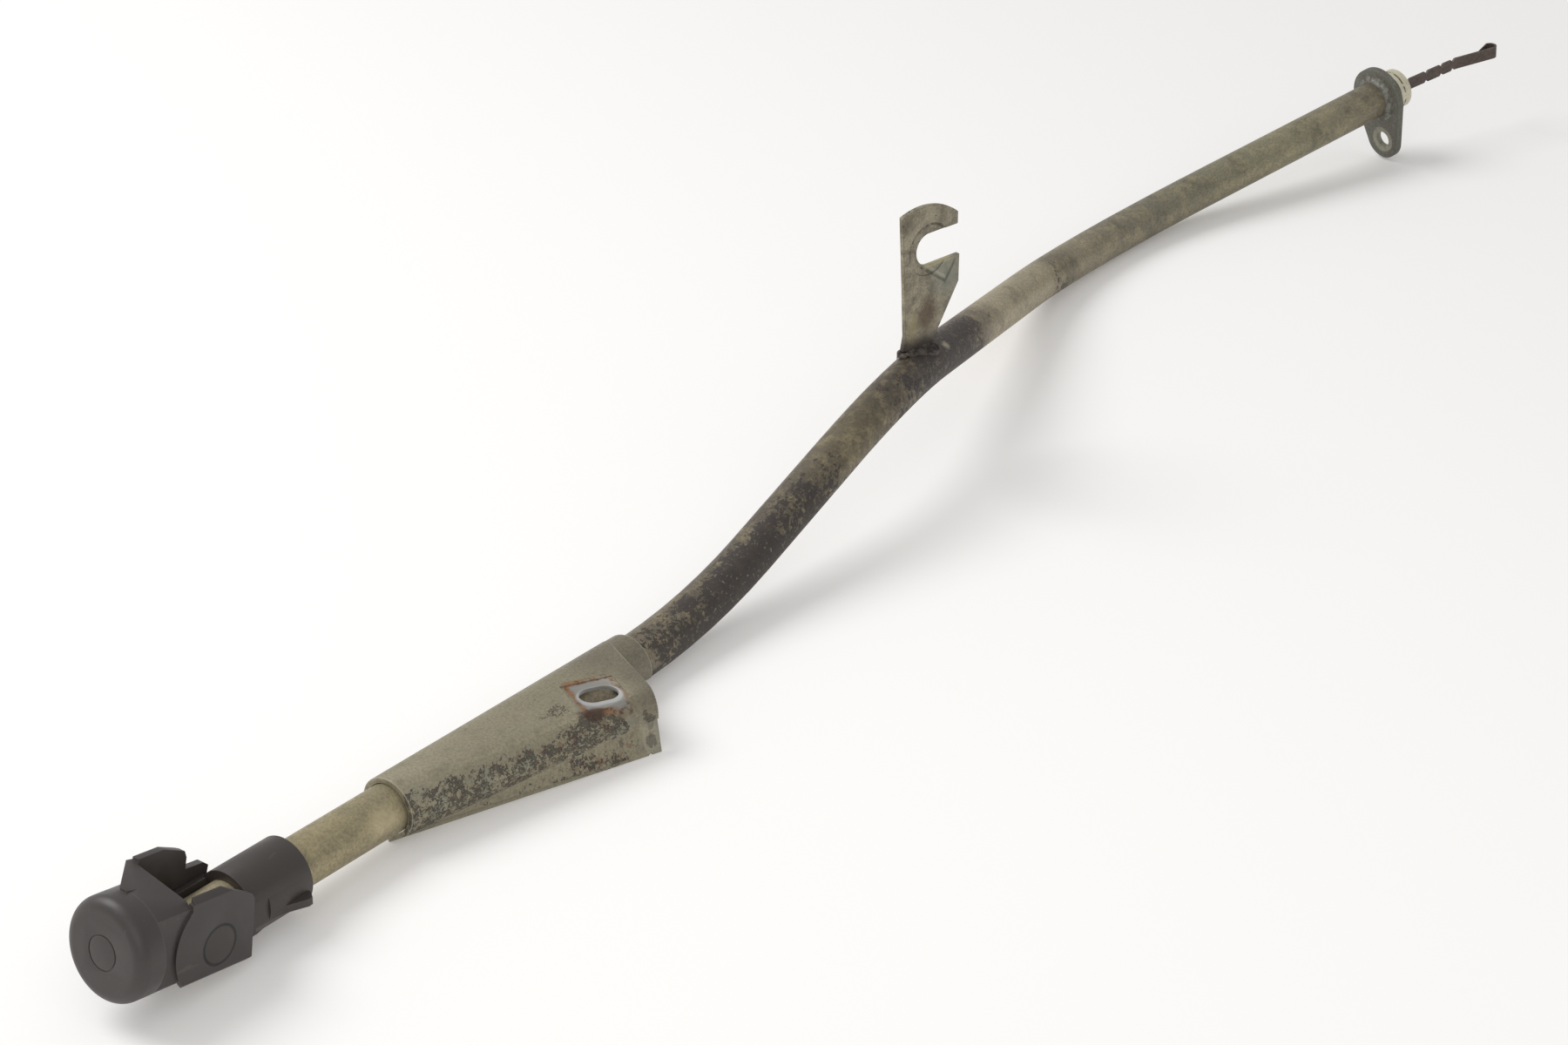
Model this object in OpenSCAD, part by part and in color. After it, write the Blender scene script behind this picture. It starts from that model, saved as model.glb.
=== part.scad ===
// Fluid dipstick in its bent guide tube, lying on its side as it comes to rest.
// The working frame starts at the lever's pivot: X runs down the tube, Z is up, Y points away from
// the bracket's skirt. The module lying() turns the finished part onto the surface it rests on.

/* [Tube] */
// Outside diameter of the guide tube
tube_d = 16; // [15:0.5:18]
// Wall of the guide tube
tube_wall = 1.25; // [0.8:0.05:1.6]
// Straight from the lever's pivot to the first bend
straight_1 = 187; // [170:1:240]
// Straight between the first and the second bend
straight_2 = 55.6; // [40:0.2:90]
// Straight between the second and the third bend
straight_3 = 113; // [90:1:160]
// Straight from the third bend to the mounting flange
straight_4 = 105; // [80:1:160]
// Centre-line radius of the first bend
bend_r_1 = 238; // [160:1:300]
// Centre-line radius of the second bend
bend_r_2 = 148; // [100:1:220]
// Centre-line radius of the third bend
bend_r_3 = 220; // [150:1:280]
// Tube that stands past the pivot, inside the lever
mouth_l = 9; // [6:0.25:9.5]

/* [Spigot and flange] */
// Outside diameter of the swaged spigot
spigot_d = 17.4; // [16:0.1:18.4]
// Length of the spigot past the flange
spigot_l = 10.6; // [7:0.1:16]
// Section diameter of the sealing ring
ring_section_d = 1.5; // [1.2:0.1:1.8]
// Thickness of the mounting flange
flange_t = 3; // [2:0.25:5]
// Radius of the flange round the tube
flange_r = 13.5; // [12.5:0.25:16]
// Radius of the flange's ear round the bolt
ear_r = 8.7; // [7.5:0.1:11]
// Distance from the tube's axis to the bolt hole
bolt_offset = 19.5; // [17:0.25:26]
// Diameter of the bolt hole
bolt_hole_d = 7; // [6:0.1:9]
// Diameter of the print that the bolt's head left
bolt_print_d = 11.6; // [10:0.1:14]
// Leg of the brazed fillet
braze_leg = 2.4; // [1:0.1:3.5]

/* [Support bracket] */
// Sheet thickness of the support bracket
sheet_t = 2; // [1.5:0.1:2.5]
// Distance from the pivot to the bracket's narrow end
bracket_x = 81.5; // [60:0.5:84]
// Length of the bracket along the tube
bracket_l = 105; // [96:1:112]
// Reach of the skirt to the side at the bracket's wide end
skirt_reach = 32; // [29:0.5:35]
// Depth of the skirt's lower edge below the tube's axis at the narrow end
skirt_drop = 12.1; // [11.4:0.1:13]
// Width of the bracket's slot
slot_w = 9; // [6:0.1:10]
// Length of the bracket's slot
slot_l = 13; // [11:0.1:15]
// Length of the saddle that goes on past the shelf
saddle_tail = 8; // [2:0.5:12]

/* [Hook bracket] */
// Sheet thickness of the hook
hook_t = 1.8; // [1.5:0.1:3.5]
// Height of the hook's crown above the tube's axis
hook_h = 63.7; // [60:0.1:72]
// Width of the hook's mouth
hook_slot_w = 12; // [8:0.1:12.4]
// Height of the mouth's middle above the tube's axis
hook_slot_z = 46.6; // [44:0.1:47.5]
// Reach of the prongs from the tube's axis
hook_reach = 18; // [16:0.25:22]

/* [Clip and lever] */
// Wall of the clip's sleeve on the tube
sleeve_wall = 3; // [2.6:0.1:3.4]
// Distance from the pivot to the far rim of the sleeve
sleeve_end = 38.5; // [32:0.5:46]
// Diameter of the lever's pivots
trunnion_d = 12; // [8:0.25:13]
// Radial clearance of the lever on its pivots
pivot_gap = 0.05; // [0.02:0.01:0.09]
// Diameter of the knob
knob_d = 31.4; // [30:0.2:36]
// Distance from the pivot to the knob's face
knob_l = 32.4; // [30:0.1:38]
// Radius of the rounding at the knob's face
knob_round = 4; // [2:0.25:5]
// Thickness of the lever's near cheek
cheek_t = 1.9; // [1.6:0.1:2.4]
// Clearance between the clip and each cheek
cheek_gap = 0.3; // [0.2:0.05:0.5]
// Tilt of the locked lever against the tube
lever_tilt = 9; // [0:0.5:10]

/* [Dipstick] */
// Width of the strip
strip_w = 5.2; // [4:0.1:6.5]
// Thickness of the strip
strip_t = 0.9; // [0.6:0.05:1.2]
// Length of the blade past the spigot, up to its kink
blade_l = 37; // [36.5:0.5:80]
// Length of the kinked end with the loop
kink_l = 23; // [16:0.5:30]
// Angle of the kink
kink_a = 13; // [0:1:25]
// Radius of the loop at the tip
loop_r = 3; // [2.4:0.1:4]
// Depth of the level notches
notch_d = 1.3; // [0.5:0.05:1.6]

/* [Hidden] */

$fn = 64;
eps = 0.01;
far = 200;

// Bends: angle turned, and the roll about the tube that brings the next bend's centre overhead
bend_a_1 = 18.3;
bend_a_2 = 30.05;
bend_a_3 = 36.7;
roll_1 = -8.5;
roll_2 = -144.7;
roll_3 = -146.8;
end_roll = -58.4;
ear_lean = -9;

tube_r = tube_d / 2;
bore_r = tube_r - tube_wall;
bend_thinning = 0.02;
lap = 0.05;

// Spigot: the groove's floor is rolled in, and the bore narrows there by as much
spigot_r = spigot_d / 2;
spigot_chamfer = 0.5;
// The ridge that the ring's groove raises inside the tube
bead_depth = 0.7;
bead_run = 0.8;
ring_squeeze = 0.4;
groove_w = ring_section_d + 0.4;
groove_x = 2.4;
groove_r = spigot_r + ring_squeeze - ring_section_d - 0.02;
ring_r = spigot_r + ring_squeeze - ring_section_d / 2;

// How the part lies: on the keel, the skirt's wide end and the third bend
rest_turn = [-0.195, 1.907, -1.476];
rest_shift = [-388.03, -6.18, 14.85];

// Seats
braze_gap = 0.03;
saddle_gap = 0.25;
saddle_r = tube_r + saddle_gap;
wrap_r = saddle_r + sheet_t - saddle_gap;
shelf_z = wrap_r;

// Support bracket: the slot lies in a square print that the washer pressed into the shelf
skirt_slope = 0.38;
skirt_r = 9;
rest_slope = 0.0324;
end_turn = -26;
end_corner = 4;
slot_x = bracket_x + bracket_l - 26;
slot_y = -skirt_reach / 2;
slot_turn = -27;
print_w = 18;
print_d = 0.5;
lip_z = -2;

// Hook: how far along the second bend it stands, and how its plate is turned there
hook_bend_a = 23.5;
hook_roll = 154.6;
hook_turn = -23.9;
hook_rake = 4.8;
hook_round_r = 27.4;
hook_slot_x = 3.4;
hook_foot_z = 5;

// Clip: sleeve, arms and cross wall
sleeve_gap = 0.05;
sleeve_r = tube_r + sleeve_wall;
sleeve_x = 15;
flat_x = 21.5;
arm_in = tube_r + 0.2;
arm_out = tube_r + 2.3;
arm_z = 6;
wall_x = mouth_l + 0.2;
wall_t = 1.3;
keel_t = 3.2;
keel_z = 14.05;
fin_z = -3.4;
fin_t = 2.4;
fin_x = sleeve_x + 9;
fin_y = 13.6;

// Lever, in its own frame: the knob's axis stands above the pivot
cheek_in = arm_out + cheek_gap;
cheek_out = cheek_in + cheek_t;
far_wall_out = cheek_out + 0.5;
knob_r = knob_d / 2;
knob_rise = 3.7;
knob_back = 23.5;
cavity_x = 13.5;
window_x = 11;
ring_mark_r = 5.2;
ring_mark_w = 0.6;
ring_mark_d = 0.3;
pad_r = 16.6;
pad_z = 0.9;
pad_step = 1;
panel_z = 16.3;
panel_dip = 8.3;
panel_rise = 10.8;

// Strip: it hangs in the holder, which the plug carries in the tube's mouth
plug_l = 16;
plug_r = bore_r - 0.3;
lip_r = bore_r - 0.03;
holder_r = 3.4;
holder_l = 26;
rivet_r = 1.2;
rivet_x = 12;
fit_gap = 0.05;
strip_start = 4;
notch_x = [6, 17.8, 27.5, 34.8];
notch_w = 2.4;
blade_dip = 3.4;
blade_lead = 8;

// Welds
weld_l = 14;
seam_inset = 12;
weld_r = 1.7;

// A child frame at the end of a bend that turns towards +Z
module past_bend(r, a) {
    translate([0, 0, r]) rotate([0, -a, 0]) translate([0, 0, -r]) children();
}

// The frames down the tube, each at the start of what it names
module at_bend_1() {
    translate([straight_1, 0, 0]) rotate([roll_1, 0, 0]) children();
}

module at_straight_2() {
    at_bend_1() past_bend(bend_r_1, bend_a_1) children();
}

module at_bend_2() {
    at_straight_2() translate([straight_2, 0, 0]) rotate([roll_2, 0, 0]) children();
}

module at_straight_3() {
    at_bend_2() past_bend(bend_r_2, bend_a_2) children();
}

module at_bend_3() {
    at_straight_3() translate([straight_3, 0, 0]) rotate([roll_3, 0, 0]) children();
}

module at_straight_4() {
    at_bend_3() past_bend(bend_r_3, bend_a_3) children();
}

module at_flange() {
    at_straight_4() translate([straight_4, 0, 0]) rotate([end_roll, 0, 0]) children();
}

// The outline of children, swept down a straight or round a bend: its x runs along Y, its y along Z
module sweep_straight(l) {
    rotate([90, 0, 90]) linear_extrude(height = l) children();
}

module sweep_bend(r, a) {
    translate([0, 0, r]) rotate([90, 0, 0]) rotate([0, 0, -90])
        rotate_extrude(angle = a, $fn = 128) translate([r, 0]) children();
}

// A solid of revolution about X: the outline's x is the radius, its y runs along X
module revolve_x() {
    rotate([0, 90, 0]) rotate_extrude() children();
}

// Two discs of radius r1 and r2, d apart along -Y, joined by their outer tangents
module tapered_plate(r1, r2, d) {
    lean = asin((r1 - r2) / d);
    circle(r1);
    translate([0, -d]) circle(r2);
    polygon([
        [r1 * cos(lean), -r1 * sin(lean)],
        [-r1 * cos(lean), -r1 * sin(lean)],
        [-r2 * cos(lean), -d - r2 * sin(lean)],
        [r2 * cos(lean), -d - r2 * sin(lean)]
    ]);
}

// The part as it comes to rest
module lying() {
    translate(rest_shift) rotate(rest_turn) children();
}

module tube_section(thinning = 0) {
    difference() {
        circle(tube_r - thinning);
        circle(bore_r + thinning);
    }
}

module tube_straight(l) {
    translate([-lap, 0, 0]) sweep_straight(l + 2 * lap) tube_section();
}

// The last straight and the spigot in one outline
module far_end_section() {
    ring_x = straight_4 + flange_t + groove_x;
    ring_end = ring_x + groove_w;
    spigot_end = straight_4 + flange_t + spigot_l;
    bead = bore_r - tube_wall * bead_depth;
    polygon([
        [bore_r, -lap], [tube_r, -lap], [tube_r, straight_4 + flange_t],
        [spigot_r, straight_4 + flange_t], [spigot_r, ring_x], [groove_r, ring_x],
        [groove_r, ring_end], [spigot_r, ring_end],
        [spigot_r, spigot_end - spigot_chamfer], [spigot_r - spigot_chamfer, spigot_end],
        [bore_r, spigot_end], [bore_r, ring_end + bead_run], [bead, ring_end],
        [bead, ring_x], [bore_r, ring_x - bead_run]
    ]);
}

// The bends are drawn a hair thinner than the straights, which lap over their ends
module guide_tube() {
    color("darkkhaki") {
        translate([-mouth_l, 0, 0]) sweep_straight(mouth_l + straight_1 + lap) tube_section();
        at_bend_1() sweep_bend(bend_r_1, bend_a_1) tube_section(bend_thinning);
        at_straight_2() tube_straight(straight_2);
        at_bend_2() sweep_bend(bend_r_2, bend_a_2) tube_section(bend_thinning);
        at_straight_3() tube_straight(straight_3);
        at_bend_3() sweep_bend(bend_r_3, bend_a_3) tube_section(bend_thinning);
        at_straight_4() revolve_x() far_end_section();
    }
}

module sealing_ring() {
    color("dimgray") at_flange() translate([flange_t + groove_x + groove_w / 2, 0, 0])
        rotate([0, 90, 0]) rotate_extrude() translate([ring_r, 0]) circle(ring_section_d / 2, $fn = 32);
}

// The plate seats against the shoulder of the spigot
module mounting_flange() {
    color("slategray") at_flange() rotate([ear_lean, 0, 0]) difference() {
        sweep_straight(flange_t) tapered_plate(flange_r, ear_r, bolt_offset);
        translate([-1, 0, 0]) sweep_straight(flange_t + 2) circle(tube_r + braze_gap);
        translate([-1, 0, 0]) sweep_straight(flange_t + 2) translate([0, -bolt_offset]) circle(d = bolt_hole_d);
        translate([-1, 0, 0]) sweep_straight(1.3) translate([0, -bolt_offset]) circle(d = bolt_print_d);
    }
}

module flange_braze() {
    color("darkgray") at_flange() revolve_x() difference() {
        translate([tube_r + braze_gap, -braze_leg]) square(braze_leg);
        translate([tube_r + braze_gap + braze_leg + eps, -braze_leg - eps]) circle(braze_leg);
    }
}

function polar(r, a) = [r * cos(a), r * sin(a)];

// Where the sheet leaves its corner arc, so that the skirt runs straight from there to its foot
function leave_angle(centre, r, foot) =
    let (d = foot - centre)
    (atan2(d[1], d[0]) + 360) % 360 - acos(r / norm(d));

// One face of the sheet, seen along the tube: far lip, wrap to the top, flat, corner arc, skirt's foot
function sheet_face(inset, centre, r, foot) =
    let (leave = leave_angle(centre, r, foot))
    concat(
        [[wrap_r - inset, lip_z]],
        [for (a = [0:10:90]) polar(wrap_r - inset, a)],
        [[min(centre[0], -0.5), shelf_z - inset]],
        [for (i = [1:12]) centre + polar(r - inset, 90 + (leave - 90) * i / 12)],
        [foot - polar(inset, leave)]
    );

function reversed(list) = [for (i = [len(list) - 1:-1:0]) list[i]];

function sheet_outline(centre, r, foot) =
    concat(sheet_face(0, centre, r, foot), reversed(sheet_face(sheet_t - saddle_gap, centre, r, foot)));

// The pressed sheet: at the narrow end it is all wrap, towards the wide end a shelf and a skirt grow
module bracket_sheet() {
    run = bracket_l + 6;
    narrow = sheet_outline([0, 0], wrap_r, [0, -skirt_drop]);
    wide = sheet_outline(
        [-skirt_reach - 0.25 * (run - 86) + skirt_r, shelf_z - skirt_r], skirt_r,
        [-skirt_slope * run, rest_slope * run - skirt_drop]
    );
    n = len(narrow);
    points = concat(
        [for (p = narrow) [bracket_x, p[0], p[1]]],
        [for (p = wide) [bracket_x + run, p[0], p[1]]]
    );
    sides = [for (i = [0:n - 1]) let (k = (i + 1) % n) each [[k, i, n + i], [n + k, k, n + i]]];
    polyhedron(points, concat([[for (i = [0:n - 1]) i]], sides, [[for (i = [n - 1:-1:0]) n + i]]));
}

// The wide end is cut at a turn, and the skirt's corner there is cut off
module bracket_end_cut() {
    foot = rest_slope * bracket_l - skirt_drop;
    translate([bracket_x + bracket_l, 0, 0]) rotate(end_turn) {
        translate([0, -80, -50]) cube([60, 120, 100]);
        translate([-end_corner, -80, foot]) rotate([0, 45, 0]) translate([0, 0, -20]) cube([20, 60, 20]);
    }
}

// Past the shelf the sheet goes on as a short saddle over the tube
module bracket_saddle() {
    translate([bracket_x + bracket_l - 8, 0, 0]) difference() {
        rotate([0, 90, 0]) cylinder(h = 8 + saddle_tail, r = wrap_r - 0.15);
        translate([-1, 0, 0]) rotate([0, 90, 0]) cylinder(h = 10 + saddle_tail, r = saddle_r + 0.1);
        translate([-1, -far / 2, -20 + lip_z]) cube([10 + saddle_tail, far, 20]);
    }
}

module support_bracket() {
    color("gray") difference() {
        union() {
            difference() {
                bracket_sheet();
                bracket_end_cut();
            }
            bracket_saddle();
        }
        translate([slot_x, slot_y, shelf_z - 5]) rotate(slot_turn) {
            for (end = [-1, 1]) {
                translate([end * (slot_l - slot_w) / 2, 0, 0]) cylinder(h = 10, d = slot_w);
            }
            translate([-(slot_l - slot_w) / 2, -slot_w / 2, 0]) cube([slot_l - slot_w, slot_w, 10]);
        }
        translate([slot_x - 1, slot_y, shelf_z - print_d]) rotate(slot_turn)
            translate([-print_w / 2, -print_w / 2, 0]) cube([print_w, print_w, 5]);
    }
}

// A rounded bead of weld along X
module bead(l, r) {
    rotate([0, 90, 0]) cylinder(h = l, r = r, $fn = 32);
    sphere(r, $fn = 32);
    translate([l, 0, 0]) sphere(r, $fn = 32);
}

// Two short seams under the far lip hold the wrap on the tube
module bracket_weld() {
    color("dimgray") for (x = [bracket_x + seam_inset, bracket_x + bracket_l - seam_inset - 2 * weld_l]) {
        difference() {
            translate([x, tube_r + 0.6, lip_z - 1.1]) bead(weld_l, weld_r);
            translate([x - 10, 0, 0]) rotate([0, 90, 0]) cylinder(h = weld_l + 20, r = tube_r + braze_gap);
            translate([x - 10, tube_r - 1, lip_z - braze_gap]) cube([weld_l + 20, 10, 10]);
        }
    }
}

module at_hook() {
    at_bend_2() past_bend(bend_r_2, hook_bend_a) rotate([hook_roll, 0, 0]) rotate([0, -hook_rake, 0])
        rotate([0, 0, hook_turn]) children();
}

// The plate's outline: x along the plate, y up from the tube's axis
module hook_outline() {
    difference() {
        intersection() {
            polygon([
                [-9.6, hook_foot_z], [-7.5, 15.7], [-8.4, 34.8], [-10.1, hook_h + 1],
                [hook_reach - 0.6, hook_h + 1], [hook_reach - 0.6, hook_slot_z],
                [hook_reach + 0.6, hook_slot_z], [hook_reach + 0.5, hook_h - 33.6],
                [8.5, 13.9], [9.5, hook_foot_z]
            ]);
            translate([-0.3, hook_h - hook_round_r]) circle(hook_round_r, $fn = 128);
        }
        translate([hook_slot_x, hook_slot_z]) circle(d = hook_slot_w);
        translate([hook_slot_x, hook_slot_z - hook_slot_w / 2]) square([30, hook_slot_w]);
    }
}

module hook_bracket() {
    color("gray") difference() {
        at_hook() translate([0, hook_t / 2, 0]) rotate([90, 0, 0]) difference() {
            linear_extrude(height = hook_t) hook_outline();
            translate([hook_slot_x, hook_slot_z, hook_t - 0.3]) cylinder(h = 1, r = hook_slot_w / 2 + 3.8);
        }
        at_bend_2() sweep_bend(bend_r_2, bend_a_2) circle(tube_r + braze_gap);
    }
}

// A straight seam on each face of the plate, where it stands on the tube
module hook_weld() {
    color("dimgray") difference() {
        at_hook() for (side = [-1, 1]) {
            translate([-weld_l / 2, side * (hook_t / 2 + braze_gap), 0]) scale([1, side, 1])
                rotate([90, 0, 90]) linear_extrude(height = weld_l)
                    polygon([[0, 4], [3, 4], [3, tube_r - 0.3], [1.6, tube_r + 0.9], [0, tube_r + 2]]);
        }
        at_bend_2() sweep_bend(bend_r_2, bend_a_2) circle(tube_r + braze_gap);
    }
}

module across(y0, y1, r) {
    translate([0, y1, 0]) rotate([90, 0, 0]) cylinder(h = y1 - y0, r = r);
}

// The keel below the sleeve, seen from the side
module keel_outline() {
    polygon([
        [sleeve_x, -tube_r], [sleeve_x, -keel_z + 2], [sleeve_x + 3, -keel_z + 0.1],
        [sleeve_x + 9, -keel_z], [sleeve_x + 16, -keel_z + 1.5], [sleeve_end - 1, -sleeve_r + 0.5],
        [sleeve_end - 1, -sleeve_r + 1.5], [sleeve_x + 6, -tube_r]
    ]);
}

module fin() {
    translate([fin_x, 0, fin_z - fin_t / 2]) linear_extrude(height = fin_t) polygon([
        [0, sleeve_r - 1], [3, sleeve_r - 0.4], [10, fin_y], [11.6, fin_y - 0.1], [12.4, fin_y - 1.2],
        [14, sleeve_r - 1], [10, sleeve_r - 2], [0, sleeve_r - 2]
    ]);
}

module clip_body() {
    color("dimgray") difference() {
        union() {
            translate([sleeve_x, 0, 0]) rotate([0, 90, 0]) cylinder(h = sleeve_end - sleeve_x, r = sleeve_r);
            for (side = [-1, 1]) scale([1, side, 1]) {
                translate([-wall_x - wall_t, arm_in, -arm_z]) cube([wall_x + wall_t + sleeve_x + 1, arm_out - arm_in, 2 * arm_z]);
                across(arm_out - 1, side > 0 ? far_wall_out : cheek_out, trunnion_d / 2);
                fin();
            }
            translate([-wall_x - wall_t, -arm_out, -arm_z]) cube([wall_t, 2 * arm_out, 2 * arm_z]);
            translate([0, keel_t / 2, 0]) rotate([90, 0, 0]) linear_extrude(height = keel_t) keel_outline();
        }
        translate([sleeve_x - 1, 0, 0]) rotate([0, 90, 0])
            cylinder(h = sleeve_end - sleeve_x + 2, r = tube_r + sleeve_gap);
        for (side = [-1, 1]) scale([1, side, 1]) {
            translate([sleeve_x - 1, arm_out, -arm_out]) cube([flat_x - sleeve_x + 1, 4, 2 * arm_out]);
        }
        translate([-wall_x - wall_t - 1, 0, 0]) rotate([0, 90, 0]) cylinder(h = wall_t + 2, r = holder_r + fit_gap);
    }
}

// The knob and the barrel behind it; its face carries one shallow ring
module knob() {
    translate([0, 0, knob_rise]) revolve_x() difference() {
        union() {
            translate([0, -knob_l + knob_round]) square([knob_r, knob_l - knob_round - knob_back]);
            translate([0, -knob_l]) square([knob_r - knob_round, knob_round + 1]);
            translate([knob_r - knob_round, -knob_l + knob_round]) circle(knob_round);
        }
        translate([ring_mark_r - ring_mark_w / 2, -knob_l - 1]) square([ring_mark_w, 1 + ring_mark_d]);
    }
}

// An outline in the lever's side view, drawn out from y0 to y1
module side_plate(y0, y1) {
    translate([0, y1, 0]) rotate([90, 0, 0]) linear_extrude(height = y1 - y0) children();
}

// The near cheek is a pad whose edge towards the knob is an arc about the pivot
module near_cheek_outline() {
    intersection() {
        polygon([
            [-20, -11.4], [-7.1, -12.3], [6.6, -11.4], [11.1, -10.9], [12.6, -9.9], [13.1, -8.2],
            [12.8, 10], [11.8, 11.9], [0.6, 17.4], [-2.2, 18.9], [-20, 18.9]
        ]);
        union() {
            translate([0, pad_z]) circle(pad_r, $fn = 128);
            translate([-window_x, pad_z]) square([30, 30]);
        }
    }
}

module far_cheek_outline() {
    polygon([
        [-16, -7], [-10, -11.4], [-7.1, -12.3], [6.6, -11.4], [12.8, -10], [15.5, 0],
        [17.2, 10.5], [15.1, 11.9], [8.2, 12], [8.4, 15.7], [7.6, 17.8], [5.6, 18.7],
        [-0.8, 21], [-window_x, 21], [-16, 21]
    ]);
}

module about_knob_axis(r) {
    translate([-knob_l, 0, knob_rise]) rotate([0, 90, 0]) cylinder(h = 2 * knob_l, r = r);
}

// Behind the knob the round body is flattened by the near cheek; the hood stands up on its far side
module lever_hood() {
    intersection() {
        side_plate(-cheek_out, -cheek_in) near_cheek_outline();
        about_knob_axis(knob_r + 1.6);
    }
    intersection() {
        translate([-knob_back - 1, pad_step - cheek_out, -far / 2])
            cube([knob_back + 1 - window_x, cheek_out - pad_step + cheek_in, far]);
        about_knob_axis(knob_r - 0.05);
    }
    difference() {
        union() {
            side_plate(cheek_in, far_wall_out) far_cheek_outline();
            translate([-knob_back - 1, 0, 0]) cube([knob_back + 1 - window_x, far_wall_out - 0.02, 25]);
        }
        translate([-24.8, 2.35, -far / 2]) rotate(41.4) cube(far);
    }
}

// Above this plane the hood is cut away to the flat panel in front of the window
module panel_cut() {
    translate([0, 0, panel_z]) rotate([panel_rise, 0, 0]) rotate([0, panel_dip, 0])
        translate([-60, -far / 2, 0]) cube([60 - window_x + 0.6, far, 20]);
}

module lever_cavity() {
    side_plate(-cheek_in, cheek_in) polygon([
        [-cavity_x, -30], [-cavity_x, 10.5], [-window_x, 13.5], [-window_x, 30], [30, 30], [30, -30]
    ]);
}

module locking_lever() {
    color("dimgray") rotate([0, lever_tilt, 0]) difference() {
        union() {
            knob();
            lever_hood();
        }
        lever_cavity();
        panel_cut();
        across(-20, 20, trunnion_d / 2 + pivot_gap);
    }
}

// The plug seals the mouth with two lips
module mouth_plug() {
    color("black") revolve_x() difference() {
        union() {
            translate([0, -mouth_l]) square([plug_r, plug_l]);
            for (at = [4, 11]) {
                translate([0, at - mouth_l]) square([lip_r, 1.2]);
            }
        }
        translate([-1, -far / 2]) square([1 + holder_r + fit_gap, far]);
    }
}

// The frame of the strip at the mouth: its width lies across the first bend
module at_strip() {
    rotate([roll_1, 0, 0]) children();
}

module strip_holder() {
    color("dimgray") at_strip() difference() {
        translate([-wall_x - wall_t, 0, 0]) rotate([0, 90, 0]) cylinder(h = holder_l, r = holder_r);
        translate([strip_start - 1, -strip_w / 2 - 2, -strip_t / 2 - fit_gap]) cube([holder_l, strip_w + 4, strip_t + 2 * fit_gap]);
        translate([rivet_x, 0, -10]) cylinder(h = 20, r = rivet_r + fit_gap / 2, $fn = 32);
    }
}

module strip_rivet() {
    color("silver") at_strip() translate([rivet_x, 0, -holder_r + 0.3]) cylinder(h = 2 * holder_r - 0.6, r = rivet_r, $fn = 32);
}

// The strip bends flatwise: its width stays across each bend, and it twists along the straights
module strip_section(thinning = 0) {
    square([strip_w - thinning, strip_t - thinning], center = true);
}

module strip_straight(l, turn) {
    translate([-lap, 0, 0]) rotate([90, 0, 90])
        linear_extrude(height = l + 2 * lap, twist = -turn, slices = 12, segments = 4)
            strip_section(-bend_thinning);
}

module strip_bend(r, a) {
    sweep_bend(r, a) rotate(90) strip_section(bend_thinning);
}

// The blade from above: straight, kinked, and folded back at the tip into a loop
function blade_plan(x0) =
    let (
        x1 = flange_t + spigot_l + blade_l, h = strip_t / 2, m = h * tan(kink_a / 2),
        tip = kink_l - loop_r, along = [cos(kink_a), -sin(kink_a)], aside = [sin(kink_a), cos(kink_a)],
        loop = concat(
            [for (a = [-90:15:90]) [tip + loop_r * cos(a), loop_r - h + loop_r * sin(a)]],
            [[tip - 7.5, h + 0.1]],
            [for (a = [90:-15:-90])
                [tip + (loop_r - strip_t) * cos(a), loop_r - h + (loop_r - strip_t) * sin(a)]]
        )
    )
    concat(
        [[x0, -h], [x1 - m, -h]],
        [for (p = loop) [x1, 0] + p[0] * along + p[1] * aside],
        [[x1 + m, h], [x0, h]]
    );

module notch() {
    linear_extrude(height = 10, center = true) polygon([[-notch_w / 2, 0.1], [0, -notch_d], [notch_w / 2, 0.1]]);
}

// The blade leaves the strip with a slight dip; its root runs on inside the spigot
module blade() {
    translate([-blade_lead, 0, -strip_w / 2]) linear_extrude(height = strip_w)
        translate([0, -strip_t / 2]) square([blade_lead, strip_t]);
    rotate([0, blade_dip, 0]) difference() {
        translate([0, 0, -strip_w / 2]) linear_extrude(height = strip_w) polygon(blade_plan(-blade_lead / 2));
        for (x = notch_x, side = [-1, 1]) {
            translate([flange_t + spigot_l + x, 0, side * strip_w / 2]) rotate([side * 90, 0, 0]) notch();
        }
    }
}

module dipstick_strip() {
    color("dimgray") {
        difference() {
            at_strip() translate([strip_start, 0, 0]) sweep_straight(straight_1 - strip_start + lap) strip_section();
            at_strip() translate([rivet_x, 0, -10]) cylinder(h = 20, r = rivet_r + fit_gap / 2, $fn = 32);
        }
        at_bend_1() strip_bend(bend_r_1, bend_a_1);
        at_straight_2() strip_straight(straight_2, 180 + roll_2);
        at_bend_2() strip_bend(bend_r_2, bend_a_2);
        at_straight_3() strip_straight(straight_3, 180 + roll_3);
        at_bend_3() strip_bend(bend_r_3, bend_a_3);
        at_straight_4() strip_straight(straight_4 - blade_lead, 90 + end_roll);
        at_flange() blade();
    }
}

lying() guide_tube();
lying() sealing_ring();
lying() mounting_flange();
lying() flange_braze();
lying() support_bracket();
lying() bracket_weld();
lying() hook_bracket();
lying() hook_weld();
lying() clip_body();
lying() locking_lever();
lying() mouth_plug();
lying() strip_holder();
lying() strip_rivet();
lying() dipstick_strip();
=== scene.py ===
from math import radians

import bpy
from mathutils import Matrix, Vector


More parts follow.
